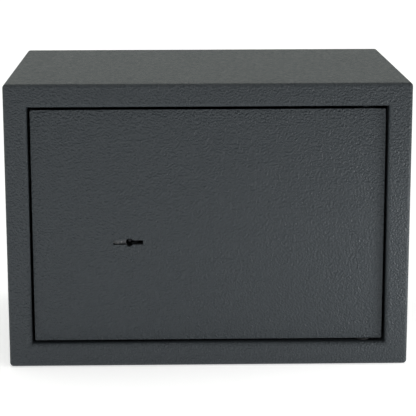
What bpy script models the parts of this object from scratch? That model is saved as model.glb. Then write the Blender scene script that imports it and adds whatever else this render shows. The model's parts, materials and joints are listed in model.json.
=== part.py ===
"""A small key-locked furniture safe: a welded sheet steel body, a plate door and its lockwork.

The origin is at the bottom centre. +X is right, +Y is towards the back and +Z is up.
Lengths are in millimetres and become metres where a mesh is made.
The safe stands with its door shut and its two live bolts drawn back.
"""

import math

import bmesh
import bpy
from mathutils import Vector

MM = 0.001
X = Vector((1, 0, 0))
Y = Vector((0, 1, 0))
Z = Vector((0, 0, 1))

# Body
WIDTH = 350.0
DEPTH = 250.0
HEIGHT = 250.0
SHEET = 1.5
BEND = 3.2  # outside radius of the body's long edges and front edges
FRAME = 20.0  # width of the front flange
LIP_BEND = 2.5  # outside radius where the flange turns back into the opening
RETURN_END_Y = -104.0  # how far back the return flange runs
MID_Z = HEIGHT / 2
FRONT_Y = -DEPTH / 2
BACK_Y = DEPTH / 2
FIXING_HOLE = 12.0
BASE_HOLE_X = 95.0
BASE_HOLE_Y = 20.0
BACK_HOLE_X = 95.0
GAP = 0.3  # play left between two pieces that touch

# Door
DOOR_WIDTH = 305.0
DOOR_HEIGHT = 204.4
DOOR_PLATE = 3.0
DOOR_RECESS = 5.0
DOOR_EDGE = 0.5
DOOR_FRONT_Y = FRONT_Y + DOOR_RECESS
DOOR_BACK_Y = DOOR_FRONT_Y + DOOR_PLATE
WELD_Y = DOOR_BACK_Y + GAP  # where pieces welded to the back of the door start

# Hinges
HINGE_X = 136.5
HINGE_Y = -112.0
PIN = 6.0
LUG_HEIGHT = 17.0
LOWER_LUG_Z = 22.2
UPPER_LUG_Z = HEIGHT - LOWER_LUG_Z - LUG_HEIGHT
LUG_WIDTH = 15.0
PIN_END_Z = 12.5  # how far the lower pin reaches down, and the upper one up, from its end of the body
PIN_SHORT = 1.0
HINGE_PLATE = 3.0
HINGE_PLATE_LEFT = 124.5
HINGE_PLATE_RIGHT = 150.5
HINGE_PLATE_FRONT_Y = -121.0
WASHER = 13.0
WASHER_THICK = 1.2

# Dead bar: the fixed strip on the hinge side, a flat Z in section
DEAD_BAR_LEFT = 126.0
DEAD_BAR_WEB = 140.0
DEAD_BAR_RIGHT = 160.0
DEAD_BAR_BACK_Y = -99.5
DEAD_BAR_SHEET = 2.0
DEAD_BAR_LOW = 48.0
DEAD_BAR_HIGH = 202.0

# Screws: radius of the head, radius of the shank, length
COVER_SCREW = (4.0, 2.0, 11.0)
LID_SCREW = (3.0, 1.5, 7.5)
BOLT_SCREW = (5.0, 3.0, 14.0)
LINK_SCREW = (3.6, 2.0, 10.0)
M3_HOLE = 3.6
M4_HOLE = 4.6
M6_HOLE = 6.6

# Inner cover of the door
COVER_LEFT = -149.0
COVER_RIGHT = 124.0
COVER_LOW = 32.0
COVER_HIGH = 218.0
COVER_BACK_Y = -84.0
COVER_SHEET = 1.2
COVER_BEND = 2.4
COVER_SCREW_X = (-105.0, 112.0)
STAND_OFF = 8.0
STAND_OFF_BORE = 12.3
COVER_SCREW_Z = (45.0, 205.0)

# Live bolts and the bar that carries them
BOLT = 14.0
BOLT_Y = -96.4
BOLT_Z = (73.0, 177.0)
BOLT_TIP_X = -152.0
BAR_LEFT = -128.0
BAR_RIGHT = -124.0
GUIDE_LEFT = -145.2
GUIDE_RIGHT = -143.2
GUIDE_FOOT = -130.0
GUIDE_BACK_Y = -86.4
GUIDE_LOW = 58.0
GUIDE_HIGH = 192.0
BAR_HALF = 7.5
BAR_LOW = 57.0
BAR_HIGH = 193.0
LINK_Y = BOLT_Y - 2.6  # the two screws that hold the bar to the lock bolt
LINK_SPREAD = 6.0

# Lock
KEY_X = -68.6
KEY_Z = 110.6
KEY_HOLE = 7.2
KEY_SLOT = 3.9
KEY_SLOT_LEFT = -82.8
KEY_SLOT_RIGHT = -56.8
CASE_LEFT = -112.0
CASE_RIGHT = -34.0
CASE_LOW = 86.0
CASE_HIGH = 142.0
CASE_BACK_Y = -94.8
CASE_SHEET = 1.5
CASE_FLOOR_Y = WELD_Y + CASE_SHEET + GAP  # where pieces that stand in the case start
EAR_HALF = 6.0
EAR_REACH = 5.5
EAR_LAP = 2.5
PILLAR = 6.0
LID_BACK_Y = -93.0
PILLAR_X = (-106.0, -40.0)
PILLAR_Z = (91.2, 136.8)
EAR_LOW = (-100.0, 80.5)
EAR_HIGH = (-46.0, 147.5)
STUD = 4.0
STUD_LENGTH = 8.5
NUT_FLAT = 3.6  # radius at the chamfer, about half the width over the flats
NUT_CORNER = 4.04
NUT_THICK = 3.2

# The lock's own keyhole is a round hole and one slot, on the right
LOCK_HOLE = 6.4
LOCK_SLOT = 3.3
LOCK_SLOT_REACH = 12.0
DRILL_PIN = 3.0
DRILL_PIN_FRONT_Y = -112.0

# Curtain: the turning barrel that the key goes into
CURTAIN_DISC = 27.0
CURTAIN_DISC_THICK = 1.5
CURTAIN_FRONT_Y = -114.9
RING_WALL = 1.7
RING_DEPTH = 1.4
BARREL = 15.0
BARREL_END_Y = -104.0
BARREL_BACK_Y = -102.2
BARREL_COLLAR = 16.6
BARREL_COLLAR_THICK = 1.8

# Lock bolt
LOCK_BOLT_FRONT_Y = -101.8
LOCK_BOLT_BACK_Y = -97.8
LOCK_BOLT_LEFT = -116.0
LOCK_BOLT_RIGHT = -47.5
LOCK_BOLT_HALF = 11.0
END_BLOCK_RIGHT = -114.0
END_BLOCK_FRONT_Y = -104.0
END_BLOCK_BACK_Y = -94.0
END_BLOCK_HALF = 10.0
TALON = 11.0
STUMP_X = -89.0
STUMP = 4.0

# Levers
LEVER_COUNT = 5
LEVER_FRONT_Y = -113.0
LEVER_THICK = 1.8
LEVER_PITCH = 2.1
LEVER_PIVOT_X = -43.0
LEVER_POST = 5.0
LEVER_LEFT = -108.0
LEVER_HALF = 14.5
LEVER_NOSE = 6.0  # radius round the pivot
WINDOW_REACH = 16.5
GATE_HALF = 2.6
LEVER_LIFT = 5.0  # degrees, over the whole throw
LEVER_WINDOWS = (11.0, 11.9, 11.3, 12.2, 11.6)  # radius of each lever's key window
THROW = 13.0

BODY_ORIGIN = (0.0, 0.0, 0.0)
DOOR_ORIGIN = (HINGE_X, HINGE_Y, 0.0)
BOLT_ORIGIN = (BAR_RIGHT, BOLT_Y, MID_Z)
KEY_ORIGIN = (KEY_X, LOCK_BOLT_FRONT_Y, KEY_Z)
LEVER_ORIGIN = (LEVER_PIVOT_X, LOCK_BOLT_FRONT_Y, KEY_Z)


# Materials


def material(name, colour, metallic, roughness):
    made = bpy.data.materials.new(name)
    made.use_nodes = True
    shader = made.node_tree.nodes["Principled BSDF"]
    shader.inputs["Base Color"].default_value = (*colour, 1.0)
    shader.inputs["Metallic"].default_value = metallic
    shader.inputs["Roughness"].default_value = roughness
    made.diffuse_color = (*colour, 1.0)
    return made


def anthracite():
    return material("anthracite_powder_coat", (0.052, 0.06, 0.066), 0.0, 0.55)


def zinc():
    return material("zinc_plated_steel", (0.55, 0.55, 0.53), 1.0, 0.35)


def bright_steel():
    return material("bright_steel", (0.62, 0.62, 0.62), 1.0, 0.22)


def phosphated_steel():
    return material("phosphated_steel", (0.13, 0.13, 0.13), 1.0, 0.5)


def lever_steel():
    return material("lever_steel", (0.5, 0.5, 0.5), 1.0, 0.3)


def curtain_metal():
    return material("die_cast_zinc", (0.42, 0.42, 0.43), 1.0, 0.45)


def nylon():
    return material("black_nylon", (0.02, 0.02, 0.021), 0.0, 0.5)


def spring_wire():
    return material("spring_wire", (0.35, 0.35, 0.36), 1.0, 0.3)


# Outlines


def arc(centre, radius, start, end, steps):
    """Points on an arc, angles in degrees."""
    points = []
    for step in range(steps + 1):
        angle = math.radians(start + (end - start) * step / steps)
        points.append((centre[0] + radius * math.cos(angle), centre[1] + radius * math.sin(angle)))
    return points


def rectangle(left, right, low, high):
    return [(left, low), (right, low), (right, high), (left, high)]


def rounded_rectangle(left, right, low, high, radius, steps=4):
    points = arc((right - radius, low + radius), radius, -90, 0, steps)
    points += arc((right - radius, high - radius), radius, 0, 90, steps)
    points += arc((left + radius, high - radius), radius, 90, 180, steps)
    points += arc((left + radius, low + radius), radius, 180, 270, steps)
    return points


# Meshes


def place(name, shape, surface, origin, smooth=False):
    """Turns a bmesh in millimetres into an object whose origin is at the given point."""
    bmesh.ops.remove_doubles(shape, verts=shape.verts, dist=0.0005)
    bmesh.ops.recalc_face_normals(shape, faces=shape.faces)
    offset = Vector(origin)
    for vert in shape.verts:
        vert.co = (vert.co - offset) * MM
    for face in shape.faces:
        face.smooth = smooth
    mesh = bpy.data.meshes.new(name)
    shape.to_mesh(mesh)
    shape.free()
    if smooth:
        mesh.set_sharp_from_angle(angle=math.radians(35))
    made = bpy.data.objects.new(name, mesh)
    made.location = offset * MM
    bpy.context.scene.collection.objects.link(made)
    if surface:
        made.data.materials.append(surface)
    return made


def join_rings(shape, rings, closed):
    """Skins a list of rings. Open skins are capped at both ends."""
    rows = [[shape.verts.new(point) for point in points] for points in rings]
    pairs = list(zip(rows, rows[1:]))
    if closed:
        pairs.append((rows[-1], rows[0]))
    for first, second in pairs:
        count = len(first)
        for i in range(count):
            j = (i + 1) % count
            shape.faces.new((first[i], first[j], second[j], second[i]))
    if not closed:
        shape.faces.new(rows[0])
        shape.faces.new(rows[-1])


def swept(name, left, right, low, high, corner, profile, surface, origin, closed=False):
    """Carries a profile of (inset, y) points round a rectangle with rounded corners."""
    shape = bmesh.new()
    rings = []
    for inset, y in profile:
        radius = max(corner - inset, 0.0)
        edge = max(corner, inset)
        points = []
        for centre, start in (
            ((right - edge, high - edge), 0),
            ((left + edge, high - edge), 90),
            ((left + edge, low + edge), 180),
            ((right - edge, low + edge), 270),
        ):
            points += [(x, y, z) for x, z in arc(centre, radius, start, start + 90, 4)]
        rings.append(points)
    join_rings(shape, rings, closed)
    return place(name, shape, surface, origin, smooth=True)


def prism(name, outline, axis, start, end, surface, origin, smooth=False):
    """Extrudes an outline. Its points are (y, z) along X, (x, z) along Y and (x, y) along Z."""
    spots = {
        "X": lambda a, b, depth: (depth, a, b),
        "Y": lambda a, b, depth: (a, depth, b),
        "Z": lambda a, b, depth: (a, b, depth),
    }
    shape = bmesh.new()
    rings = [[spots[axis](a, b, depth) for a, b in outline] for depth in (start, end)]
    join_rings(shape, rings, False)
    return place(name, shape, surface, origin, smooth)


def turned(name, base, axis, profile, surface, origin, sides=24, hollow=False):
    """Spins a profile of (radius, distance) points about an axis through base."""
    across = X if abs(axis.dot(X)) < 0.5 else Z
    across = (across - axis * across.dot(axis)).normalized()
    other = axis.cross(across)
    shape = bmesh.new()
    rings = []
    for radius, distance in profile:
        points = []
        for i in range(sides):
            angle = 2 * math.pi * i / sides
            spoke = across * math.cos(angle) + other * math.sin(angle)
            points.append(Vector(base) + axis * distance + spoke * radius)
        rings.append(points)
    join_rings(shape, rings, hollow)
    return place(name, shape, surface, origin, smooth=True)


def rod(name, base, axis, radius, length, surface, origin, sides=24, chamfer=0.4):
    profile = [(radius - chamfer, 0.0), (radius, chamfer)]
    profile += [(radius, length - chamfer), (radius - chamfer, length)]
    return turned(name, base, axis, profile, surface, origin, sides)


def combine(target, tool, operation="DIFFERENCE"):
    """Cuts the tool from the target, or joins it on, and hides the tool."""
    step = target.modifiers.new(tool.name, "BOOLEAN")
    step.operation = operation
    step.solver = "EXACT"
    step.object = tool
    tool.hide_render = True
    tool.display_type = "WIRE"
    return target


def drill(target, name, base, axis, diameter, length, sides=24):
    profile = [(diameter / 2, 0.0), (diameter / 2, length)]
    return combine(target, turned(name, base, axis, profile, None, BODY_ORIGIN, sides))


def cut_box(target, name, left, right, front, back, low, high):
    outline = rectangle(left, right, low, high)
    return combine(target, prism(name, outline, "Y", front, back, None, BODY_ORIGIN))


def add_box(target, name, left, right, front, back, low, high):
    outline = rectangle(left, right, low, high)
    tool = prism(name, outline, "Y", front, back, None, BODY_ORIGIN)
    return combine(target, tool, "UNION")


# Body


def body_shell(coat):
    """Top, sides, base, front flange and return flange, welded and ground as one."""
    inner = BEND - SHEET
    profile = [(0.0, BACK_Y)]
    profile += arc((BEND, FRONT_Y + BEND), BEND, 180, 270, 5)
    profile += arc((FRAME - LIP_BEND, FRONT_Y + LIP_BEND), LIP_BEND, 270, 360, 5)
    profile += [(FRAME, RETURN_END_Y), (FRAME - SHEET, RETURN_END_Y)]
    profile += arc((FRAME - LIP_BEND, FRONT_Y + LIP_BEND), LIP_BEND - SHEET, 360, 270, 5)
    profile += arc((BEND, FRONT_Y + BEND), inner, 270, 180, 5)
    profile += [(SHEET, BACK_Y)]
    shell = swept(
        "body_shell", -WIDTH / 2, WIDTH / 2, 0.0, HEIGHT, BEND, profile, coat, BODY_ORIGIN, True
    )
    for side in (-1, 1):
        base = (side * BASE_HOLE_X, BASE_HOLE_Y, -5.0)
        drill(shell, "cut_base_hole", base, Z, FIXING_HOLE, 12.0)
    for low in (FRAME - 4.0, HEIGHT - FRAME - 3.0):
        drill(shell, "cut_pin_hole", (HINGE_X, HINGE_Y, low), Z, PIN + 2 * GAP, 7.0)
    return shell


def back_panel(coat):
    inset = SHEET + GAP
    profile = [(0.0, BACK_Y - SHEET), (0.0, BACK_Y)]
    panel = swept(
        "back_panel",
        -WIDTH / 2 + inset,
        WIDTH / 2 - inset,
        inset,
        HEIGHT - inset,
        BEND - inset,
        profile,
        coat,
        BODY_ORIGIN,
    )
    for side in (-1, 1):
        base = (side * BACK_HOLE_X, BACK_Y - 8.0, MID_Z)
        drill(panel, "cut_back_hole", base, Y, FIXING_HOLE, 16.0)
    return panel


def hinge_plate(name, low, coat):
    """A strap welded to the return flange that doubles its thickness round the pin."""
    back = RETURN_END_Y - 0.5
    outline = rounded_rectangle(HINGE_PLATE_LEFT, HINGE_PLATE_RIGHT, HINGE_PLATE_FRONT_Y, back, 2.0)
    plate = prism(name, outline, "Z", low, low + HINGE_PLATE, coat, BODY_ORIGIN)
    return drill(plate, "cut_" + name, (HINGE_X, HINGE_Y, low - 2), Z, PIN + 2 * GAP, 8.0)


def hinge_washer(metal):
    base = (HINGE_X, HINGE_Y, FRAME + GAP)
    hole = PIN / 2 + GAP
    rim = WASHER / 2
    profile = [(hole, 0.0), (rim, 0.0), (rim, WASHER_THICK), (hole, WASHER_THICK)]
    return turned("hinge_washer", base, Z, profile, metal, BODY_ORIGIN, hollow=True)


# Door


def door_plate(coat):
    profile = [(DOOR_EDGE, DOOR_FRONT_Y), (DOOR_EDGE * 0.3, DOOR_FRONT_Y + DOOR_EDGE * 0.3)]
    profile += [(0.0, DOOR_FRONT_Y + DOOR_EDGE), (0.0, DOOR_BACK_Y)]
    plate = swept(
        "door_plate",
        -DOOR_WIDTH / 2,
        DOOR_WIDTH / 2,
        MID_Z - DOOR_HEIGHT / 2,
        MID_Z + DOOR_HEIGHT / 2,
        1.0,
        profile,
        coat,
        DOOR_ORIGIN,
    )
    return keyhole(plate, DOOR_FRONT_Y - 2.0, DOOR_BACK_Y + 2.0)


def keyhole(target, front, back):
    """The door's cut-out: a round middle and a slot each way, to suit a lock of either hand."""
    half = KEY_SLOT / 2
    length = back - front
    drill(target, "cut_key_round", (KEY_X, front, KEY_Z), Y, KEY_HOLE, length, 32)
    return cut_box(
        target, "cut_key_slot", KEY_SLOT_LEFT, KEY_SLOT_RIGHT, front, back, KEY_Z - half, KEY_Z + half
    )


def hinge_lug(name, low, coat):
    """A bored block welded to the back of the door, rounded where it faces the inside."""
    half = LUG_WIDTH / 2
    outline = [(HINGE_X + half, WELD_Y), (HINGE_X + half, HINGE_Y)]
    outline += arc((HINGE_X, HINGE_Y), half, 0, 180, 10)[1:]
    outline += [(HINGE_X - half, WELD_Y)]
    lug = prism(name, outline, "Z", low, low + LUG_HEIGHT, coat, DOOR_ORIGIN, True)
    base = (HINGE_X, HINGE_Y, low - 3)
    return drill(lug, "cut_" + name, base, Z, PIN + 2 * GAP, LUG_HEIGHT + 6)


def hinge_pin(name, low, high, coat):
    """A plain pin fixed in its lug and coated with the door."""
    base = (HINGE_X, HINGE_Y, low)
    return rod(name, base, Z, PIN / 2, high - low, coat, DOOR_ORIGIN, 20, 0.6)


def dead_bar(coat):
    """The fixed strip that reaches behind the return flange on the hinge side."""
    foot_y = WELD_Y + DEAD_BAR_SHEET
    reach_y = DEAD_BAR_BACK_Y - DEAD_BAR_SHEET
    web = DEAD_BAR_WEB - DEAD_BAR_SHEET
    outline = [(DEAD_BAR_LEFT, WELD_Y), (DEAD_BAR_WEB, WELD_Y), (DEAD_BAR_WEB, reach_y)]
    outline += [(DEAD_BAR_RIGHT, reach_y), (DEAD_BAR_RIGHT, DEAD_BAR_BACK_Y)]
    outline += [(web, DEAD_BAR_BACK_Y), (web, foot_y), (DEAD_BAR_LEFT, foot_y)]
    return prism("dead_bar", outline, "Z", DEAD_BAR_LOW, DEAD_BAR_HIGH, coat, DOOR_ORIGIN)


def inner_cover(coat):
    """The folded tray that boxes in the lockwork on the back of the door."""
    inner = COVER_BEND - COVER_SHEET
    bend_y = COVER_BACK_Y - COVER_BEND
    profile = [(COVER_BEND, COVER_BACK_Y - COVER_SHEET)]
    profile += arc((COVER_BEND, bend_y), inner, 90, 180, 4)[1:]
    profile += [(COVER_SHEET, WELD_Y), (0.0, WELD_Y)]
    profile += arc((COVER_BEND, bend_y), COVER_BEND, 180, 90, 4)
    cover = swept(
        "inner_cover",
        COVER_LEFT,
        COVER_RIGHT,
        COVER_LOW,
        COVER_HIGH,
        COVER_BEND,
        profile,
        coat,
        DOOR_ORIGIN,
    )
    for z in BOLT_Z:
        drill(cover, "cut_cover_bolt", (COVER_LEFT - 4, BOLT_Y, z), X, BOLT + 1.2, 10.0)
    for x in COVER_SCREW_X:
        for z in COVER_SCREW_Z:
            drill(cover, "cut_cover_screw", (x, COVER_BACK_Y - 5, z), Y, M4_HOLE, 10.0, 16)
    return cover


def stand_off(name, x, z, metal):
    """A tapped post welded to the door for one of the cover's screws."""
    length = COVER_BACK_Y - COVER_SHEET - GAP - WELD_Y
    post = rod(name, (x, WELD_Y, z), Y, STAND_OFF / 2, length, metal, DOOR_ORIGIN, 16)
    return drill(post, "cut_" + name, (x, WELD_Y + length - STAND_OFF_BORE, z), Y, M4_HOLE, 14.0, 16)


def pan_head_screw(name, seat, axis, size, metal, origin, sides=16):
    """A domed screw. Its head stands on the seat and its shank runs along the axis."""
    head, shank, length = size
    rise = head * 0.36
    profile = [(head * 0.32, -rise), (head * 0.82, -rise * 0.75), (head, -rise * 0.3)]
    profile += [(head, 0.0), (shank, 0.0), (shank, length - 0.5), (shank - 0.5, length)]
    return turned(name, seat, axis, profile, metal, origin, sides)


def bolt_guide(metal):
    """The angle welded to the door that the two live bolts slide through."""
    foot_y = WELD_Y + GUIDE_RIGHT - GUIDE_LEFT
    outline = [(GUIDE_LEFT, WELD_Y), (GUIDE_FOOT, WELD_Y), (GUIDE_FOOT, foot_y), (GUIDE_RIGHT, foot_y)]
    outline += [(GUIDE_RIGHT, GUIDE_BACK_Y), (GUIDE_LEFT, GUIDE_BACK_Y)]
    guide = prism("bolt_guide", outline, "Z", GUIDE_LOW, GUIDE_HIGH, metal, DOOR_ORIGIN)
    for z in BOLT_Z:
        drill(guide, "cut_guide", (GUIDE_LEFT - 3, BOLT_Y, z), X, BOLT + 2 * GAP, 8.0, 32)
    return guide


# Lock


def lock_keyhole(target, name, front, back):
    """The round hole and the single slot that the key's bit goes through."""
    half = LOCK_SLOT / 2
    drill(target, "cut_round_" + name, (KEY_X, front, KEY_Z), Y, LOCK_HOLE, back - front, 32)
    return cut_box(
        target, "cut_slot_" + name, KEY_X, KEY_X + LOCK_SLOT_REACH, front, back, KEY_Z - half, KEY_Z + half
    )


def lock_case(metal):
    """The tray that holds the levers, with two fixing ears and the slot for its bolt."""
    wall = CASE_SHEET
    front = WELD_Y
    profile = [(wall, front + wall), (wall, CASE_BACK_Y), (0.0, CASE_BACK_Y), (0.0, front)]
    case = swept(
        "lock_case", CASE_LEFT, CASE_RIGHT, CASE_LOW, CASE_HIGH, 2.0, profile, metal, DOOR_ORIGIN
    )
    for name, (x, z), low, high in (
        ("add_low_ear", EAR_LOW, EAR_LOW[1] - EAR_REACH, CASE_LOW + EAR_LAP),
        ("add_high_ear", EAR_HIGH, CASE_HIGH - EAR_LAP, EAR_HIGH[1] + EAR_REACH),
    ):
        add_box(case, name, x - EAR_HALF, x + EAR_HALF, front, front + wall - 0.1, low, high)
        drill(case, "cut_ear", (x, front - 3, z), Y, STUD + 2 * GAP, 8.0, 16)
    cut_box(
        case,
        "cut_bolt_exit",
        CASE_LEFT - 3,
        CASE_LEFT + 4,
        LOCK_BOLT_FRONT_Y - 0.6,
        LOCK_BOLT_BACK_Y + 0.6,
        KEY_Z - LOCK_BOLT_HALF - 0.6,
        KEY_Z + LOCK_BOLT_HALF + 0.6,
    )
    return lock_keyhole(case, "case", front - 2, front + wall + 2)


def lock_lid(metal):
    outline = rounded_rectangle(CASE_LEFT, CASE_RIGHT, CASE_LOW, CASE_HIGH, 2.0)
    front = CASE_BACK_Y + GAP
    lid = prism("lock_lid", outline, "Y", front, LID_BACK_Y, metal, DOOR_ORIGIN)
    for x in PILLAR_X:
        for z in PILLAR_Z:
            drill(lid, "cut_lid", (x, front - 3, z), Y, M3_HOLE, 8.0, 16)
    return lid


def lock_pillar(name, x, z, metal):
    """A tapped pillar in a corner of the lock case that takes one lid screw."""
    length = CASE_BACK_Y - CASE_FLOOR_Y
    pillar = rod(name, (x, CASE_FLOOR_Y, z), Y, PILLAR / 2, length, metal, DOOR_ORIGIN, 16)
    return drill(pillar, "cut_" + name, (x, CASE_BACK_Y - 8, z), Y, M3_HOLE, 10.0, 16)


def lock_stud(name, x, z, metal):
    return rod(name, (x, WELD_Y, z), Y, STUD / 2, STUD_LENGTH, metal, DOOR_ORIGIN, 16)


def lock_nut(name, x, z, metal):
    chamfer = 0.4
    profile = [(NUT_FLAT, 0.0), (NUT_CORNER, chamfer)]
    profile += [(NUT_CORNER, NUT_THICK - chamfer), (NUT_FLAT, NUT_THICK)]
    nut = turned(name, (x, CASE_FLOOR_Y, z), Y, profile, metal, DOOR_ORIGIN, 6)
    return drill(nut, "cut_" + name, (x, CASE_FLOOR_Y - 2, z), Y, STUD + 2 * GAP, 8.0, 16)


def curtain_ring(metal):
    """The ring that the curtain's disc turns in."""
    inner = CURTAIN_DISC / 2 + GAP
    outer = inner + RING_WALL
    base = (KEY_X, CURTAIN_FRONT_Y, KEY_Z)
    profile = [(inner, 0.0), (outer, 0.0), (outer, RING_DEPTH), (inner, RING_DEPTH)]
    return turned("curtain_ring", base, Y, profile, metal, DOOR_ORIGIN, 40, True)


def lever_post(metal):
    base = (LEVER_PIVOT_X, CASE_FLOOR_Y, KEY_Z)
    length = CASE_BACK_Y - CASE_FLOOR_Y
    return rod("lever_post", base, Y, LEVER_POST / 2, length, metal, DOOR_ORIGIN, 20)


def drill_pin(metal):
    """The fixed pin that the key's hollow shank fits over."""
    length = CASE_BACK_Y - DRILL_PIN_FRONT_Y
    base = (KEY_X, DRILL_PIN_FRONT_Y, KEY_Z)
    return rod("drill_pin", base, Y, DRILL_PIN / 2, length, metal, DOOR_ORIGIN, 20)


def curtain(metal):
    """A disc and barrel with a bore for the key's shank and one slot for its bit, in one casting."""
    front = CURTAIN_FRONT_Y
    base = (KEY_X, front, KEY_Z)
    disc = CURTAIN_DISC / 2
    collar = BARREL_COLLAR / 2
    reach = BARREL_BACK_Y - front
    step = reach - BARREL_COLLAR_THICK
    profile = [(disc, 0.0), (disc, CURTAIN_DISC_THICK), (BARREL / 2, CURTAIN_DISC_THICK)]
    profile += [(BARREL / 2, step), (collar, step), (collar, reach)]
    made = turned("curtain", base, Y, profile, metal, KEY_ORIGIN, 40)
    lock_keyhole(made, "curtain", front - 3, BARREL_END_Y)
    return drill(made, "cut_shank_bore", (KEY_X, BARREL_END_Y - 1, KEY_Z), Y, LOCK_HOLE, 4.0, 32)


# Boltwork


def lock_bolt(metal):
    """The flat bolt that the key's bit pushes by its talon, with an end block for the bar."""
    outline = rectangle(LOCK_BOLT_LEFT, LOCK_BOLT_RIGHT, KEY_Z - LOCK_BOLT_HALF, KEY_Z + LOCK_BOLT_HALF)
    bolt = prism("lock_bolt", outline, "Y", LOCK_BOLT_FRONT_Y, LOCK_BOLT_BACK_Y, metal, BOLT_ORIGIN)
    add_box(
        bolt,
        "add_end_block",
        BAR_RIGHT + GAP,
        END_BLOCK_RIGHT,
        END_BLOCK_FRONT_Y,
        END_BLOCK_BACK_Y,
        KEY_Z - END_BLOCK_HALF,
        KEY_Z + END_BLOCK_HALF,
    )
    front = LOCK_BOLT_FRONT_Y - 2
    back = LOCK_BOLT_BACK_Y + 2
    shank = LOCK_HOLE / 2 + 0.5
    end = KEY_X + THROW + shank
    cut_box(bolt, "cut_shank_slot", KEY_X - shank, end, front, back, KEY_Z - shank, KEY_Z + shank)
    middle = KEY_X + THROW / 2
    low = KEY_Z - LOCK_BOLT_HALF - 3
    cut_box(bolt, "cut_talon", middle - TALON / 2, middle + TALON / 2, front, back, low, KEY_Z)
    for side in (-1, 1):
        base = (BAR_RIGHT - 1, LINK_Y, KEY_Z + side * LINK_SPREAD)
        drill(bolt, "cut_link_bore", base, X, M4_HOLE, 8.0, 16)
    return bolt


def bolt_stump(metal):
    front = LEVER_FRONT_Y + 0.1
    length = LOCK_BOLT_FRONT_Y - GAP - front
    return rod("bolt_stump", (STUMP_X, front, KEY_Z), Y, STUMP / 2, length, metal, BOLT_ORIGIN, 20)


def bolt_bar(metal):
    outline = rounded_rectangle(BOLT_Y - BAR_HALF, BOLT_Y + BAR_HALF, BAR_LOW, BAR_HIGH, 2.0)
    bar = prism("bolt_bar", outline, "X", BAR_LEFT, BAR_RIGHT, metal, BOLT_ORIGIN)
    for z in BOLT_Z:
        drill(bar, "cut_bar_bolt", (BAR_LEFT - 3, BOLT_Y, z), X, M6_HOLE, 10.0, 20)
    for side in (-1, 1):
        base = (BAR_LEFT - 3, LINK_Y, KEY_Z + side * LINK_SPREAD)
        drill(bar, "cut_bar_link", base, X, M4_HOLE, 10.0, 16)
    return bar


def live_bolt(name, z, metal):
    """A round bolt with a chamfered nose, tapped at the end that meets the bar."""
    length = BAR_LEFT - GAP - BOLT_TIP_X
    radius = BOLT / 2
    profile = [(radius - 1.6, 0.0), (radius - 0.5, 0.5), (radius, 1.6)]
    profile += [(radius, length - 0.4), (radius - 0.4, length)]
    bolt = turned(name, (BOLT_TIP_X, BOLT_Y, z), X, profile, metal, BOLT_ORIGIN, 40)
    return drill(bolt, "cut_" + name, (BAR_LEFT - GAP - 11, BOLT_Y, z), X, M6_HOLE, 14.0, 20)


# Levers


def lever_window(index):
    """The opening that the key turns in, square towards the pivot."""
    radius = LEVER_WINDOWS[index]
    corner = 2.0
    right = KEY_X + WINDOW_REACH - corner
    outline = arc((KEY_X, KEY_Z), radius, 90, 270, 12)
    outline += arc((right, KEY_Z - radius + corner), corner, 270, 360, 3)
    outline += arc((right, KEY_Z + radius - corner), corner, 0, 90, 3)
    return outline


def gate_outline():
    """The slanting passage that the stump takes while the lever lifts."""
    reach = STUMP_X - LEVER_PIVOT_X
    far = reach - THROW
    lift = math.radians(LEVER_LIFT)
    start = Vector((LEVER_PIVOT_X + reach, KEY_Z))
    end = Vector((LEVER_PIVOT_X + far * math.cos(lift), KEY_Z + far * math.sin(lift)))
    along = (end - start).normalized()
    side = Vector((-along.y, along.x)) * GATE_HALF
    return [start + side, end + side, end - side, start - side]


def lever(index, metal):
    """A flat lever with its pivot hole, key window, gate and two pockets."""
    front = LEVER_FRONT_Y + index * LEVER_PITCH
    back = front + LEVER_THICK
    name = "lever_{}".format(index + 1)
    top = KEY_Z + LEVER_HALF
    bottom = KEY_Z - LEVER_HALF
    outline = arc((LEVER_PIVOT_X, KEY_Z), LEVER_NOSE, -60, 60, 6)
    outline += [(LEVER_PIVOT_X - 5, top - 2), (LEVER_PIVOT_X - 8, top)]
    outline += [(LEVER_LEFT + 4, top), (LEVER_LEFT, top - 4)]
    outline += [(LEVER_LEFT, bottom + 4), (LEVER_LEFT + 4, bottom)]
    outline += [(LEVER_PIVOT_X - 8, bottom), (LEVER_PIVOT_X - 5, bottom + 2)]
    made = prism(name, outline, "Y", front, back, metal, LEVER_ORIGIN)
    low = front - 0.6
    high = back + 0.6
    drill(made, "cut_pivot", (LEVER_PIVOT_X, low, KEY_Z), Y, LEVER_POST + 2 * GAP, high - low, 20)
    for tool, shape in (
        ("cut_window", lever_window(index)),
        ("cut_gate", gate_outline()),
        ("cut_near_pocket", rectangle(STUMP_X - 3.4, STUMP_X + 3.4, KEY_Z - 4.5, KEY_Z + 4.5)),
        ("cut_far_pocket", rectangle(-105.4, -98.4, KEY_Z - 8.2, KEY_Z + 3.0)),
    ):
        combine(made, prism(tool, shape, "Y", low, high, None, BODY_ORIGIN))
    return made


def lever_spring(index, metal):
    """A bent wire that presses its lever down from the roof of the lock case."""
    y = LEVER_FRONT_Y + index * LEVER_PITCH + LEVER_THICK / 2
    low = KEY_Z + LEVER_HALF + 0.7
    points = [(-52.0, low), (-60.0, low + 0.6), (-70.0, low + 3.4), (-82.0, low + 8.6), (-92.0, low + 13.2)]
    radius = 0.35
    shape = bmesh.new()
    rings = []
    for i, (x, z) in enumerate(points):
        before = points[max(i - 1, 0)]
        after = points[min(i + 1, len(points) - 1)]
        along = Vector((after[0] - before[0], 0, after[1] - before[1])).normalized()
        across = along.cross(Y)
        ring = []
        for j in range(8):
            angle = 2 * math.pi * j / 8
            spoke = Y * math.cos(angle) + across * math.sin(angle)
            ring.append(Vector((x, y, z)) + spoke * radius)
        rings.append(ring)
    join_rings(shape, rings, False)
    return place("lever_spring_{}".format(index + 1), shape, metal, LEVER_ORIGIN, True)


# Assembly


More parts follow.
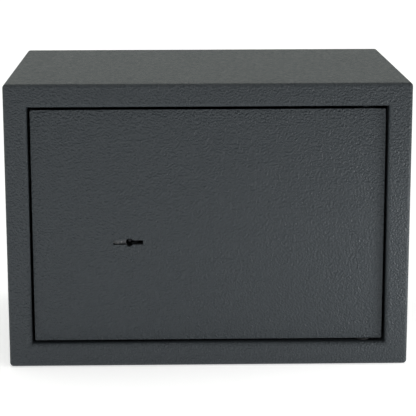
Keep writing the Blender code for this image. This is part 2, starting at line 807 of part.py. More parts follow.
def build_body(coat, metal):
    body_shell(coat)
    back_panel(coat)
    hinge_plate("hinge_plate_lower", FRAME - SHEET - GAP - HINGE_PLATE, coat)
    hinge_plate("hinge_plate_upper", HEIGHT - FRAME + SHEET + GAP, coat)
    hinge_washer(nylon())


def build_door(coat, metal):
    door_plate(coat)
    hinge_lug("hinge_lug_lower", LOWER_LUG_Z, coat)
    hinge_lug("hinge_lug_upper", UPPER_LUG_Z, coat)
    hinge_pin("hinge_pin_lower", PIN_END_Z, LOWER_LUG_Z + LUG_HEIGHT - PIN_SHORT, coat)
    hinge_pin("hinge_pin_upper", UPPER_LUG_Z + PIN_SHORT, HEIGHT - PIN_END_Z, coat)
    dead_bar(coat)
    bolt_guide(metal)
    inner_cover(coat)
    spots = [(x, z) for x in COVER_SCREW_X for z in COVER_SCREW_Z]
    for number, (x, z) in enumerate(spots, 1):
        stand_off("stand_off_{}".format(number), x, z, metal)
        seat = (x, COVER_BACK_Y + GAP, z)
        name = "cover_screw_{}".format(number)
        pan_head_screw(name, seat, -Y, COVER_SCREW, metal, DOOR_ORIGIN)


def build_lock(metal, bright):
    dark = phosphated_steel()
    lock_case(dark)
    lock_lid(dark)
    spots = [(x, z) for x in PILLAR_X for z in PILLAR_Z]
    for number, (x, z) in enumerate(spots, 1):
        lock_pillar("lock_pillar_{}".format(number), x, z, metal)
        seat = (x, LID_BACK_Y + GAP, z)
        name = "lid_screw_{}".format(number)
        pan_head_screw(name, seat, -Y, LID_SCREW, metal, DOOR_ORIGIN, 12)
    for number, (x, z) in enumerate((EAR_LOW, EAR_HIGH), 1):
        lock_stud("lock_stud_{}".format(number), x, z, metal)
        lock_nut("lock_nut_{}".format(number), x, z, metal)
    curtain_ring(metal)
    lever_post(bright)
    drill_pin(bright)
    curtain(curtain_metal())


def build_boltwork(metal, bright):
    lock_bolt(metal)
    bolt_stump(bright)
    bolt_bar(metal)
    for place_name, z in zip(("lower", "upper"), BOLT_Z):
        live_bolt("live_bolt_" + place_name, z, bright)
        seat = (BAR_RIGHT + GAP, BOLT_Y, z)
        name = "bolt_screw_" + place_name
        pan_head_screw(name, seat, -X, BOLT_SCREW, metal, BOLT_ORIGIN)
    for place_name, side in (("lower", -1), ("upper", 1)):
        seat = (BAR_LEFT - GAP, LINK_Y, KEY_Z + side * LINK_SPREAD)
        name = "link_screw_" + place_name
        pan_head_screw(name, seat, X, LINK_SCREW, metal, BOLT_ORIGIN, 12)


def build():
    for old in list(bpy.data.objects):
        bpy.data.objects.remove(old)
    coat = anthracite()
    metal = zinc()
    bright = bright_steel()
    build_body(coat, metal)
    build_door(coat, metal)
    build_lock(metal, bright)
    build_boltwork(metal, bright)
    plate = lever_steel()
    wire = spring_wire()
    for index in range(LEVER_COUNT):
        lever(index, plate)
        lever_spring(index, wire)


build()
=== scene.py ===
"""The looks of a small furniture safe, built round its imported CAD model.

Lengths are in metres in the CAD model's own frame: +X right, +Y to the back, +Z up.
"""

import json
import math

import bmesh
import bpy
from mathutils import Matrix, Vector


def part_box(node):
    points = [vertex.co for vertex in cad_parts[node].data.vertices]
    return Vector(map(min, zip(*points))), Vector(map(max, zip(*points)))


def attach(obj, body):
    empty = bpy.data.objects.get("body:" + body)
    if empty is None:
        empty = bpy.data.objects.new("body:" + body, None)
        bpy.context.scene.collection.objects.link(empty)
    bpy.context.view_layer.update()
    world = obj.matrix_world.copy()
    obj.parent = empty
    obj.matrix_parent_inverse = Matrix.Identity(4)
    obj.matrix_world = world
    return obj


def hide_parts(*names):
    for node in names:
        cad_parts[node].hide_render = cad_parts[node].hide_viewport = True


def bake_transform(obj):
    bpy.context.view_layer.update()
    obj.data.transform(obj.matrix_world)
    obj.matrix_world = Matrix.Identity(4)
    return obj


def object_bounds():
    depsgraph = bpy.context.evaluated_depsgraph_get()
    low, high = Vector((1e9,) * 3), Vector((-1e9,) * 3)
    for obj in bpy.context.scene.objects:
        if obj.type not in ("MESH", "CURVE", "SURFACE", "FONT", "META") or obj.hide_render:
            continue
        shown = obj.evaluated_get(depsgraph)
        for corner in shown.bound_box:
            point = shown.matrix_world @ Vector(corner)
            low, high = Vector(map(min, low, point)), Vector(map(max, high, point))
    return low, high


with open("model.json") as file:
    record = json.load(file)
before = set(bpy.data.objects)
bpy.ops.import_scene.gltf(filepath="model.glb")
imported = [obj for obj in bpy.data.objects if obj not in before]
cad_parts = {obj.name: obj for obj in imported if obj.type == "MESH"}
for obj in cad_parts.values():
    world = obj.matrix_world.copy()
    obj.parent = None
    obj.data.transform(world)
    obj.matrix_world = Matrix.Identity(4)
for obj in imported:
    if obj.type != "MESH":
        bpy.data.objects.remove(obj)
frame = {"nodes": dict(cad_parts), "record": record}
cad_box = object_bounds()

MM = 0.001
X = Vector((1, 0, 0))
Y = Vector((0, 1, 0))
Z = Vector((0, 0, 1))


def middle(node):
    """The middle of a CAD node's box."""
    low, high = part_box(node)
    return (low + high) / 2


# Places of the screws, bolts and pin that holes are made for
SIDES = ("lower", "upper")
KEY_X = middle("drill_pin").x
KEY_Z = middle("drill_pin").z
BOLTS = [middle("live_bolt_" + side) for side in SIDES]
LINK_SCREWS = [middle("link_screw_" + side) for side in SIDES]
COVER_SCREWS = [middle("cover_screw_{}".format(i)) for i in range(1, 5)]

# The constants of the safe below are sizes and places that the boxes of the CAD nodes don't give,
# apart from the hinge's axis.

# Folded body. The CAD's bend at the inner edge of the frame is 2.5 mm. The larger LIP_BEND
# gives more of the soft shading that the photo has beside the gap.
SHEET = 1.5 * MM
BEND = 3.2 * MM
FRAME_WIDTH = 20.0 * MM
LIP_BEND = 3.4 * MM
RETURN_END_Y = -104.0 * MM
FIXING_HOLE = 12.0 * MM
FIXING_X = 95.0 * MM
BASE_HOLE_Y = 20.0 * MM
BACK_HOLE_Z = 125.0 * MM

# The back's edge runs into the shell by BACK_SEAM, so that no light shows in the seam.
BACK_SEAM = 0.6 * MM
BACK_CORNER = 1.4 * MM
BACK_INSET = 0.1 * MM

# Door and hinges
DOOR_CORNER = 1.2 * MM
KEY_HOLE = 7.2 * MM
KEY_SLOT = 3.9 * MM
KEY_SLOT_LEFT = -82.8 * MM
KEY_SLOT_RIGHT = -56.8 * MM
KEY_SLOT_CORNER = 0.9 * MM
HINGE_X = 136.5 * MM
HINGE_Y = -112.0 * MM
PIN_HOLE = 6.6 * MM
HINGE_PLATE_CORNER = 2.0 * MM

# Dead bar, bolt guide and inner cover
DEAD_BAR_SHEET = 2.0 * MM
DEAD_BAR_WEB_X = 140.0 * MM
GUIDE_SHEET = 2.0 * MM
GUIDE_HOLE = 14.6 * MM
COVER_SHEET = 1.2 * MM
COVER_BEND = 2.4 * MM
COVER_BOLT_HOLE = 15.2 * MM
COVER_SCREW_HOLE = 4.6 * MM

# Live bolts and their bar
BOLT_SCREW_HOLE = 6.6 * MM
BOLT_SCREW_DEPTH = 11.0 * MM
BOLT_SHARP = 40.0
BAR_CORNER = 2.0 * MM
LINK_SCREW_HOLE = 4.6 * MM

# Screws. The head's rise and the recess's reach, side and depth are shares of the head's
# radius. The dome's points are shares of that radius and of the rise. RECESS_TAPER is the share
# of the reach that is left at the bottom of the recess.
HEAD_RISE = 0.36
RECESS_REACH = 0.52
RECESS_SIDE = 0.12
RECESS_DEPTH = 0.34
RECESS_TAPER = 0.45
HEAD_DOME = ((0.3, 1.0), (0.62, 0.93), (0.85, 0.72), (0.97, 0.4), (1.0, 0.12), (0.985, 0.0))
SCREW_TIP = 0.5 * MM
THREAD_PITCH = 0.7 * MM
THREAD_DEPTH = 0.25 * MM
THREAD_CREST = 0.15 * MM
THREAD_ROOT = 0.35 * MM

# Modelling. CLEAR is how far a cutting tool runs past the metal. Two faces that turn by more
# than SHARP degrees make a sharp edge.
CLEAR = 3.0 * MM
MERGE = 0.0005 * MM
SHARP = 35.0
CORNER_STEPS = 8

# Materials. Most values of a noise texture lie in NOISE.
NOISE = (0.3, 0.7)

# Studio. Looking round, its light changes from front to rear over REAR_TURN of the direction's
# Y, and to that above over ABOVE_TURN of its Z.
FLOOR_HALF = 9.0
FLOOR_Y = 3.0
FLOOR_DROP = 0.2 * MM
FLOOR_GLOW = 0.5
FRONT = (0.048, 0.05, 0.056)
REAR = (0.8, 0.84, 0.79)
ABOVE = (0.06, 0.06, 0.06)
REAR_TURN = (-0.5, 0.5)
ABOVE_TURN = (0.4, 0.9)

# Camera
CAMERA_AT = (-29.2 * MM, -1487.7 * MM, 437.7 * MM)
CAMERA_PITCH = 12.24
CAMERA_YAW = 1.21
CAMERA_ROLL = 0.11
CAMERA_LENS = 139.8


# ---------------------------------------------------------------- node helpers


class Nodes:
    """A short way to write a shader's node graph."""

    def __init__(self, tree):
        self.tree = tree
        self.tree.nodes.clear()

    def add(self, kind, **settings):
        node = self.tree.nodes.new(kind)
        for name, value in settings.items():
            setattr(node, name, value)
        return node

    def join(self, source, target):
        self.tree.links.new(source, target)

    def put(self, socket, value):
        """Joins an input to another node's output, or sets it to a number or a colour."""
        if isinstance(value, bpy.types.NodeSocket):
            self.join(value, socket)
        elif socket.type == "RGBA":
            socket.default_value = (*value, 1.0)
        else:
            socket.default_value = value

    def noise(self, where, scale, detail=2.0, rough=0.5, distortion=0.0):
        node = self.add("ShaderNodeTexNoise")
        self.put(node.inputs["Vector"], where)
        self.put(node.inputs["Scale"], scale)
        self.put(node.inputs["Detail"], detail)
        self.put(node.inputs["Roughness"], rough)
        self.put(node.inputs["Distortion"], distortion)
        return node.outputs["Fac"]

    def cells(self, where, scale, smooth):
        node = self.add("ShaderNodeTexVoronoi", feature="SMOOTH_F1")
        self.put(node.inputs["Vector"], where)
        self.put(node.inputs["Scale"], scale)
        self.put(node.inputs["Smoothness"], smooth)
        return node.outputs["Distance"]

    def remap(self, value, source, result=(0.0, 1.0)):
        """Maps one (low, high) range of a value to another, and stops at its ends."""
        node = self.add("ShaderNodeMapRange")
        self.put(node.inputs["Value"], value)
        self.put(node.inputs["From Min"], source[0])
        self.put(node.inputs["From Max"], source[1])
        self.put(node.inputs["To Min"], result[0])
        self.put(node.inputs["To Max"], result[1])
        return node.outputs["Result"]

    def math(self, operation, first, second):
        node = self.add("ShaderNodeMath", operation=operation)
        self.put(node.inputs[0], first)
        self.put(node.inputs[1], second)
        return node.outputs[0]

    def weighted(self, *terms):
        """The sum of several (value, weight) terms."""
        parts = [self.math("MULTIPLY", value, weight) for value, weight in terms]
        total = parts[0]
        for part in parts[1:]:
            total = self.math("ADD", total, part)
        return total

    def mix(self, amount, first, second):
        """A colour between two others."""
        node = self.add("ShaderNodeMix", data_type="RGBA")
        self.put(node.inputs[0], amount)
        self.put(node.inputs[6], first)
        self.put(node.inputs[7], second)
        return node.outputs[2]

    def stretched(self, where, scale):
        node = self.add("ShaderNodeMapping")
        self.put(node.inputs["Vector"], where)
        self.put(node.inputs["Scale"], scale)
        return node.outputs["Vector"]

    def bump(self, height, distance, strength=1.0, under=None):
        """Relief of a given depth, on top of another bump where there is one."""
        node = self.add("ShaderNodeBump")
        self.put(node.inputs["Height"], height)
        self.put(node.inputs["Distance"], distance)
        self.put(node.inputs["Strength"], strength)
        if under is not None:
            self.join(under, node.inputs["Normal"])
        return node.outputs["Normal"]


class Surface:
    """A material with an empty graph, its shader, and the place on the object."""

    def __init__(self, name, metallic=0.0):
        self.material = bpy.data.materials.new(name)
        self.material.use_nodes = True
        self.nodes = Nodes(self.material.node_tree)
        out = self.nodes.add("ShaderNodeOutputMaterial")
        self.shader = self.nodes.add("ShaderNodeBsdfPrincipled")
        self.nodes.join(self.shader.outputs["BSDF"], out.inputs["Surface"])
        self.where = self.nodes.add("ShaderNodeTexCoord").outputs["Object"]
        self.set("Metallic", metallic)

    def set(self, name, value):
        """Sets or joins one of the shader's inputs."""
        self.nodes.put(self.shader.inputs[name], value)


# ------------------------------------------------------------------- materials


def powder_coat():
    """Anthracite polyester powder with a fine leather grain, and painted highlights on the grain's
    crests.
    """
    made = Surface("anthracite_powder_coat")
    nodes, where = made.nodes, made.where
    dark = (0.0275, 0.034, 0.0395)
    light = (0.0312, 0.038, 0.0435)
    painted_crest_highlight = (0.0445, 0.0525, 0.0585)
    broad = nodes.noise(where, scale=9.0)
    pebble = nodes.cells(where, scale=540.0, smooth=0.3)
    wrinkle = nodes.noise(where, scale=590.0, detail=1.5, distortion=0.1)
    fine = nodes.noise(where, scale=2100.0, detail=1.0)
    height = nodes.weighted((pebble, 0.55), (wrinkle, 0.9), (fine, 0.12))
    # The raised grain is mixed towards a lighter colour: a painted highlight on its crests.
    crest_highlight_share = nodes.math("MULTIPLY", nodes.remap(height, (0.35, 0.95)), 0.35)
    colour = nodes.mix(broad, dark, light)
    made.set("Base Color", nodes.mix(crest_highlight_share, colour, painted_crest_highlight))
    gloss = nodes.noise(where, scale=330.0)
    made.set("Roughness", nodes.remap(gloss, NOISE, (0.42, 0.56)))
    made.set("Specular IOR Level", 0.32)
    wave = nodes.bump(nodes.noise(where, scale=14.0, detail=1.0), distance=0.5 * MM, strength=0.5)
    made.set("Normal", nodes.bump(height, distance=1.15 * MM, under=wave))
    return made.material


def zinc():
    """Pressed steel with bright zinc plating: cloudy, faintly yellow, finely scratched."""
    made = Surface("zinc_plated_steel", metallic=1.0)
    nodes, where = made.nodes, made.where
    dark = (0.5, 0.5, 0.49)
    light = (0.66, 0.655, 0.63)
    dull = (0.3, 0.3, 0.3)
    cloud = nodes.noise(where, scale=60.0, detail=4.0, rough=0.6)
    along = nodes.stretched(where, (1.0, 1.0, 14.0))
    streaks = nodes.noise(along, scale=420.0, detail=3.0, rough=0.6)
    specks = nodes.noise(where, scale=1500.0, rough=0.6)
    colour = nodes.mix(cloud, dark, light)
    dulled = nodes.remap(specks, (0.55, 0.75), (0.0, 0.6))
    made.set("Base Color", nodes.mix(dulled, colour, dull))
    both = nodes.math("ADD", streaks, cloud)
    made.set("Roughness", nodes.remap(both, (0.7, 1.3), (0.24, 0.46)))
    scratches = nodes.bump(streaks, distance=0.01 * MM, strength=0.7)
    made.set("Normal", nodes.bump(specks, distance=0.03 * MM, strength=0.8, under=scratches))
    return made.material


def phosphate():
    """Dark grey phosphated sheet with a crystalline skin, and bright specks painted in as glints."""
    made = Surface("phosphated_steel", metallic=1.0)
    nodes, where = made.nodes, made.where
    dark = (0.062, 0.065, 0.07)
    light = (0.1, 0.103, 0.108)
    glint_colour = (0.34, 0.34, 0.33)
    crystals = nodes.noise(where, scale=1100.0, detail=3.0, rough=0.65)
    cloud = nodes.noise(where, scale=120.0, detail=3.0)
    glint_noise = nodes.noise(where, scale=520.0, detail=3.0, rough=0.6)
    # Bright specks mixed into the colour are painted glints.
    painted_glints = nodes.remap(glint_noise, (0.56, 0.66))
    colour = nodes.mix(cloud, dark, light)
    made.set("Base Color", nodes.mix(painted_glints, colour, glint_colour))
    made.set("Roughness", nodes.remap(cloud, NOISE, (0.4, 0.6)))
    made.set("Normal", nodes.bump(crystals, distance=0.04 * MM))
    return made.material


def turned_steel():
    """Bright bar with fine turning marks round it."""
    made = Surface("bright_steel", metallic=1.0)
    nodes, where = made.nodes, made.where
    dark = (0.56, 0.56, 0.555)
    light = (0.68, 0.68, 0.67)
    along = nodes.stretched(where, (30.0, 1.0, 1.0))
    marks = nodes.noise(along, scale=180.0, detail=3.0, rough=0.7)
    cloud = nodes.noise(where, scale=80.0, detail=3.0)
    made.set("Base Color", nodes.mix(cloud, dark, light))
    made.set("Roughness", nodes.remap(marks, NOISE, (0.16, 0.34)))
    made.set("Normal", nodes.bump(marks, distance=0.008 * MM))
    return made.material


def painted_shade_pin_steel():
    """Nearly black steel for the pin that the key slips over: painted shade on a pin that is bright
    steel.
    """
    made = Surface("painted_shade_pin_steel", metallic=1.0)
    nodes, where = made.nodes, made.where
    dark = (0.02, 0.021, 0.023)
    light = (0.045, 0.046, 0.05)
    scale = nodes.noise(where, scale=700.0, detail=3.0, rough=0.6)
    made.set("Base Color", nodes.mix(scale, dark, light))
    made.set("Roughness", nodes.remap(scale, NOISE, (0.38, 0.56)))
    made.set("Normal", nodes.bump(scale, distance=0.02 * MM, strength=0.8))
    return made.material


def stamped_steel():
    """Tumbled stampings with a fine pitted skin."""
    made = Surface("lever_steel", metallic=1.0)
    nodes, where = made.nodes, made.where
    dark = (0.4, 0.4, 0.4)
    light = (0.58, 0.575, 0.56)
    tumble = nodes.noise(where, scale=260.0, detail=4.0, rough=0.6)
    pits = nodes.cells(where, scale=700.0, smooth=0.3)
    made.set("Base Color", nodes.mix(tumble, dark, light))
    made.set("Roughness", nodes.remap(tumble, NOISE, (0.26, 0.44)))
    made.set("Normal", nodes.bump(pits, distance=0.02 * MM, strength=0.6))
    return made.material


def cast_zinc():
    """Dull grey die casting with a sandy skin."""
    made = Surface("die_cast_zinc", metallic=1.0)
    nodes, where = made.nodes, made.where
    dark = (0.2, 0.2, 0.205)
    light = (0.3, 0.3, 0.305)
    skin = nodes.noise(where, scale=900.0, detail=3.0, rough=0.6)
    flow = nodes.noise(where, scale=90.0, detail=3.0, rough=0.6, distortion=1.5)
    made.set("Base Color", nodes.mix(flow, dark, light))
    made.set("Roughness", nodes.remap(flow, NOISE, (0.42, 0.58)))
    made.set("Normal", nodes.bump(skin, distance=0.04 * MM, strength=0.8))
    return made.material


def wire_steel():
    """Drawn wire with the die's lines along it."""
    made = Surface("spring_wire", metallic=1.0)
    nodes, where = made.nodes, made.where
    dark = (0.28, 0.28, 0.29)
    light = (0.42, 0.42, 0.42)
    along = nodes.stretched(where, (1.0, 20.0, 6.0))
    lines = nodes.noise(along, scale=500.0)
    made.set("Base Color", nodes.mix(lines, dark, light))
    made.set("Roughness", nodes.remap(lines, NOISE, (0.22, 0.38)))
    made.set("Normal", nodes.bump(lines, distance=0.006 * MM, strength=0.8))
    return made.material


def nylon():
    """Moulded black nylon with a soft sheen."""
    made = Surface("black_nylon")
    nodes, where = made.nodes, made.where
    dark = (0.012, 0.012, 0.0125)
    light = (0.024, 0.024, 0.025)
    grain = nodes.noise(where, scale=800.0, detail=3.0, rough=0.6)
    made.set("Base Color", nodes.mix(grain, dark, light))
    made.set("Roughness", nodes.remap(grain, NOISE, (0.42, 0.56)))
    made.set("Normal", nodes.bump(grain, distance=0.02 * MM, strength=0.6))
    return made.material


def studio_floor():
    """Matt off-white board that glows a little, so that it comes out nearly white."""
    made = Surface("studio_floor")
    nodes, where = made.nodes, made.where
    dark = (0.885, 0.885, 0.885)
    light = (0.905, 0.905, 0.905)
    fibre = nodes.noise(where, scale=40.0, detail=4.0, rough=0.6)
    made.set("Base Color", nodes.mix(fibre, dark, light))
    made.set("Roughness", nodes.remap(fibre, NOISE, (0.85, 0.95)))
    made.set("Specular IOR Level", 0.1)
    made.set("Emission Color", (1.0, 1.0, 1.0))
    made.set("Emission Strength", FLOOR_GLOW)
    return made.material


# -------------------------------------------------------------------- geometry


def arc(centre, radius, start, end, steps):
    """Points on an arc between two angles in degrees."""
    points = []
    for step in range(steps + 1):
        angle = math.radians(start + (end - start) * step / steps)
        points.append((centre[0] + radius * math.cos(angle), centre[1] + radius * math.sin(angle)))
    return points


def rounded_rectangle(left, right, low, high, radius, steps=6):
    points = arc((right - radius, low + radius), radius, -90, 0, steps)
    points += arc((right - radius, high - radius), radius, 0, 90, steps)
    points += arc((left + radius, high - radius), radius, 90, 180, steps)
    points += arc((left + radius, low + radius), radius, 180, 270, steps)
    return points


def object_of(name, shape, surface=None):
    """Turns a finished bmesh into an object with smooth faces that point outwards."""
    bmesh.ops.remove_doubles(shape, verts=shape.verts, dist=MERGE)
    bmesh.ops.recalc_face_normals(shape, faces=shape.faces)
    for face in shape.faces:
        face.smooth = True
    mesh = bpy.data.meshes.new(name)
    shape.to_mesh(mesh)
    shape.free()
    made = bpy.data.objects.new(name, mesh)
    bpy.context.scene.collection.objects.link(made)
    if surface:
        mesh.materials.append(surface)
    return made


def object_of_rings(name, rings, closed, surface=None):
    """Joins each ring of points to the next. The last joins the first, or both ends are capped."""
    shape = bmesh.new()
    rows = [[shape.verts.new(point) for point in points] for points in rings]
    pairs = list(zip(rows, rows[1:]))
    if closed:
        pairs.append((rows[-1], rows[0]))
    for first, second in pairs:
        count = len(first)
        for i in range(count):
            j = (i + 1) % count
            shape.faces.new((first[i], first[j], second[j], second[i]))
    if not closed:
        shape.faces.new(rows[0])
        shape.faces.new(rows[-1])
    return object_of(name, shape, surface)


def swept(name, low, high, corner, profile, closed, surface):
    """Carries a profile of (inset, y) points round a box's front outline with rounded corners."""
    rings = []
    for inset, y in profile:
        radius = max(corner - inset, 0.0)
        edge = max(corner, inset)
        points = []
        for centre, start in (
            ((high.x - edge, high.z - edge), 0),
            ((low.x + edge, high.z - edge), 90),
            ((low.x + edge, low.z + edge), 180),
            ((high.x - edge, low.z + edge), 270),
        ):
            points += [(x, y, z) for x, z in arc(centre, radius, start, start + 90, CORNER_STEPS)]
        rings.append(points)
    return object_of_rings(name, rings, closed, surface)


def prism(name, outline, axis, start, end, surface=None):
    """Carries a flat outline along one axis of the model."""
    spots = {
        "X": lambda a, b, depth: (depth, a, b),
        "Y": lambda a, b, depth: (a, depth, b),
        "Z": lambda a, b, depth: (a, b, depth),
    }
    rings = [[spots[axis](a, b, depth) for a, b in outline] for depth in (start, end)]
    return object_of_rings(name, rings, False, surface)


def turned(name, base, axis, profile, surface=None, sides=48, hollow=False):
    """Turns a profile of (radius, distance) points round one of the model's axes, at the base."""
    across = Z if abs(axis.x) > abs(axis.z) else X
    other = axis.cross(across)
    rings = []
    for radius, distance in profile:
        points = []
        for i in range(sides):
            angle = 2 * math.pi * i / sides
            spoke = across * math.cos(angle) + other * math.sin(angle)
            points.append(Vector(base) + axis * distance + spoke * radius)
        rings.append(points)
    return object_of_rings(name, rings, hollow, surface)


def bake(target):
    """Replaces an object's mesh with what its modifiers make of it."""
    graph = bpy.context.evaluated_depsgraph_get()
    mesh = bpy.data.meshes.new_from_object(target.evaluated_get(graph))
    target.modifiers.clear()
    target.data = mesh


def cut(target, tool):
    """Takes the tool out of the target for good."""
    step = target.modifiers.new("cut", "BOOLEAN")
    step.operation = "DIFFERENCE"
    step.solver = "EXACT"
    step.object = tool
    bake(target)
    bpy.data.objects.remove(tool)


def drill(target, start, axis, diameter, depth, sides=48, blind=False):
    """Bores a round hole from one face of the metal. Unless blind, it runs clear of the other."""
    base = Vector(start) - axis * CLEAR
    run = depth + CLEAR if blind else depth + 2 * CLEAR
    profile = [(diameter / 2, 0.0), (diameter / 2, run)]
    cut(target, turned("drill", base, axis, profile, None, sides))


def flat_normals(target):
    """Keeps large flat faces flat where smooth shading meets them."""
    step = target.modifiers.new("normals", "WEIGHTED_NORMAL")
    step.mode = "FACE_AREA"
    step.weight = 100
    step.keep_sharp = True


def round_edges(target, width, segments=3):
    """Softens every sharp edge and keeps the flats flat."""
    for face in target.data.polygons:
        face.use_smooth = True
    step = target.modifiers.new("edges", "BEVEL")
    step.width = width
    step.segments = segments
    step.limit_method = "ANGLE"
    step.angle_limit = math.radians(SHARP)
    flat_normals(target)


def stand_for(piece, body, node):
    """Shows a piece in place of its CAD node and moves it with its body."""
    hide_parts(node)
    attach(piece, body)


# ------------------------------------------------------------------------ body


def make_shell(coat):
    """The folded sheet: its side, the front frame and the return flange are one profile."""
    low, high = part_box("body_shell")
    outer_bend = (BEND, low.y + BEND)
    lip_bend = (FRAME_WIDTH - LIP_BEND, low.y + LIP_BEND)
    profile = [(0.0, high.y)]
    profile += arc(outer_bend, BEND, 180, 270, steps=12)
    profile += arc(lip_bend, LIP_BEND, 270, 360, steps=12)
    profile += [(FRAME_WIDTH, RETURN_END_Y), (FRAME_WIDTH - SHEET, RETURN_END_Y)]
    profile += arc(lip_bend, LIP_BEND - SHEET, 360, 270, steps=6)
    profile += arc(outer_bend, BEND - SHEET, 270, 180, steps=6)
    profile += [(SHEET, high.y)]
    shell = swept("shell_skin", low, high, BEND, profile, True, coat)
    for side in (-1, 1):
        drill(shell, (side * FIXING_X, BASE_HOLE_Y, low.z), Z, FIXING_HOLE, SHEET)
    for z in (low.z + FRAME_WIDTH - SHEET, high.z - FRAME_WIDTH):
        drill(shell, (HINGE_X, HINGE_Y, z), Z, PIN_HOLE, SHEET)
    flat_normals(shell)
    stand_for(shell, "body", "body_shell")


def make_back(coat):
    low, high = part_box("back_panel")
    left = low.x - BACK_SEAM
    right = high.x + BACK_SEAM
    outline = rounded_rectangle(left, right, low.z - BACK_SEAM, high.z + BACK_SEAM, BACK_CORNER)
    panel = prism("back_skin", outline, "Y", low.y, high.y - BACK_INSET, coat)
    for side in (-1, 1):
        drill(panel, (side * FIXING_X, low.y, BACK_HOLE_Z), Y, FIXING_HOLE, high.y - low.y)
    round_edges(panel, width=0.25 * MM)
    stand_for(panel, "body", "back_panel")


def make_hinge_plate(node, coat):
    low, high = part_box(node)
    outline = rounded_rectangle(low.x, high.x, low.y, high.y, HINGE_PLATE_CORNER)
    plate = prism(node + "_skin", outline, "Z", low.z, high.z, coat)
    drill(plate, (HINGE_X, HINGE_Y, low.z), Z, PIN_HOLE, high.z - low.z)
    round_edges(plate, width=0.3 * MM)
    stand_for(plate, "body", node)


def make_washer(plastic):
    low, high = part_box("hinge_washer")
    outer = (high.x - low.x) / 2
    inner = PIN_HOLE / 2
    rise = high.z - low.z
    edge = 0.25 * MM
    profile = [(inner + edge, 0), (outer - edge, 0), (outer, edge), (outer, rise - edge)]
    profile += [(outer - edge, rise), (inner + edge, rise), (inner, rise - edge), (inner, edge)]
    washer = turned("washer_skin", (HINGE_X, HINGE_Y, low.z), Z, profile, plastic, hollow=True)
    stand_for(washer, "body", "hinge_washer")


# ------------------------------------------------------------------------ door


def make_door(coat):
    """The plate with its keyhole: a round hole with a slot through it."""
    low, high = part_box("door_plate")
    outline = rounded_rectangle(low.x, high.x, low.z, high.z, DOOR_CORNER)
    door = prism("door_skin", outline, "Y", low.y, high.y, coat)
    slot_low = KEY_Z - KEY_SLOT / 2
    slot_high = KEY_Z + KEY_SLOT / 2
    slot = rounded_rectangle(KEY_SLOT_LEFT, KEY_SLOT_RIGHT, slot_low, slot_high, KEY_SLOT_CORNER)
    cut(door, prism("slot", slot, "Y", low.y - CLEAR, high.y + CLEAR))
    drill(door, (KEY_X, low.y, KEY_Z), Y, KEY_HOLE, high.y - low.y, sides=64)
    round_edges(door, width=0.5 * MM, segments=4)
    stand_for(door, "door", "door_plate")


def make_lug(node, coat):
    """A thick lug, square where it is welded to the door and round about its pin."""
    low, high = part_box(node)
    half = (high.x - low.x) / 2
    outline = [(HINGE_X + half, low.y), (HINGE_X + half, HINGE_Y)]
    outline += arc((HINGE_X, HINGE_Y), half, 0, 180, steps=24)[1:]
    outline += [(HINGE_X - half, low.y)]
    lug = prism(node + "_skin", outline, "Z", low.z, high.z, coat)
    drill(lug, (HINGE_X, HINGE_Y, low.z), Z, PIN_HOLE, high.z - low.z)
    round_edges(lug, width=0.5 * MM)
    stand_for(lug, "door", node)


def make_pin(node, coat):
    """A hinge pin with blunted ends."""
    low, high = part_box(node)
    radius = (high.x - low.x) / 2
    length = high.z - low.z
    nose = 0.9 * MM
    shoulder = 0.3 * nose
    profile = [(radius - nose, 0), (radius - shoulder, shoulder), (radius, nose)]
    profile += [(radius, length - nose), (radius - shoulder, length - shoulder)]
    profile += [(radius - nose, length)]
    pin = turned(node + "_skin", (HINGE_X, HINGE_Y, low.z), Z, profile, coat)
    flat_normals(pin)
    stand_for(pin, "door", node)


def make_dead_bar(coat):
    """A bent strip: flat on the door, a web towards the back, and a lip behind the frame."""
    low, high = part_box("dead_bar")
    web = DEAD_BAR_WEB_X
    sheet = DEAD_BAR_SHEET
    outline = [(low.x, low.y), (web, low.y), (web, high.y - sheet), (high.x, high.y - sheet)]
    outline += [(high.x, high.y), (web - sheet, high.y)]
    outline += [(web - sheet, low.y + sheet), (low.x, low.y + sheet)]
    bar = prism("dead_bar_skin", outline, "Z", low.z, high.z, coat)
    round_edges(bar, width=0.6 * MM, segments=4)
    stand_for(bar, "door", "dead_bar")


def make_guide(metal):
    """An angle with one hole for each live bolt."""
    low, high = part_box("bolt_guide")
    sheet = GUIDE_SHEET
    outline = [(low.x, low.y), (high.x, low.y), (high.x, low.y + sheet)]
    outline += [(low.x + sheet, low.y + sheet), (low.x + sheet, high.y), (low.x, high.y)]
    guide = prism("bolt_guide_skin", outline, "Z", low.z, high.z, metal)
    for bolt in BOLTS:
        drill(guide, (low.x, bolt.y, bolt.z), X, GUIDE_HOLE, sheet)
    round_edges(guide, width=0.3 * MM)
    stand_for(guide, "door", "bolt_guide")


def make_cover(coat):
    """A pressed tray over the boltwork, with holes for the bolts and the cover's screws."""
    low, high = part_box("inner_cover")
    bend = (COVER_BEND, high.y - COVER_BEND)
    profile = [(COVER_BEND, high.y - COVER_SHEET)]
    profile += arc(bend, COVER_BEND - COVER_SHEET, 90, 180, steps=6)[1:]
    profile += [(COVER_SHEET, low.y), (0.0, low.y)]
    profile += arc(bend, COVER_BEND, 180, 90, steps=10)
    cover = swept("inner_cover_skin", low, high, COVER_BEND, profile, False, coat)
    for bolt in BOLTS:
        drill(cover, (low.x, bolt.y, bolt.z), X, COVER_BOLT_HOLE, COVER_SHEET)
    for screw in COVER_SCREWS:
        drill(cover, (screw.x, high.y - COVER_SHEET, screw.z), Y, COVER_SCREW_HOLE, COVER_SHEET)
    flat_normals(cover)
    stand_for(cover, "door", "inner_cover")


# ---------------------------------------------------------------------- screws


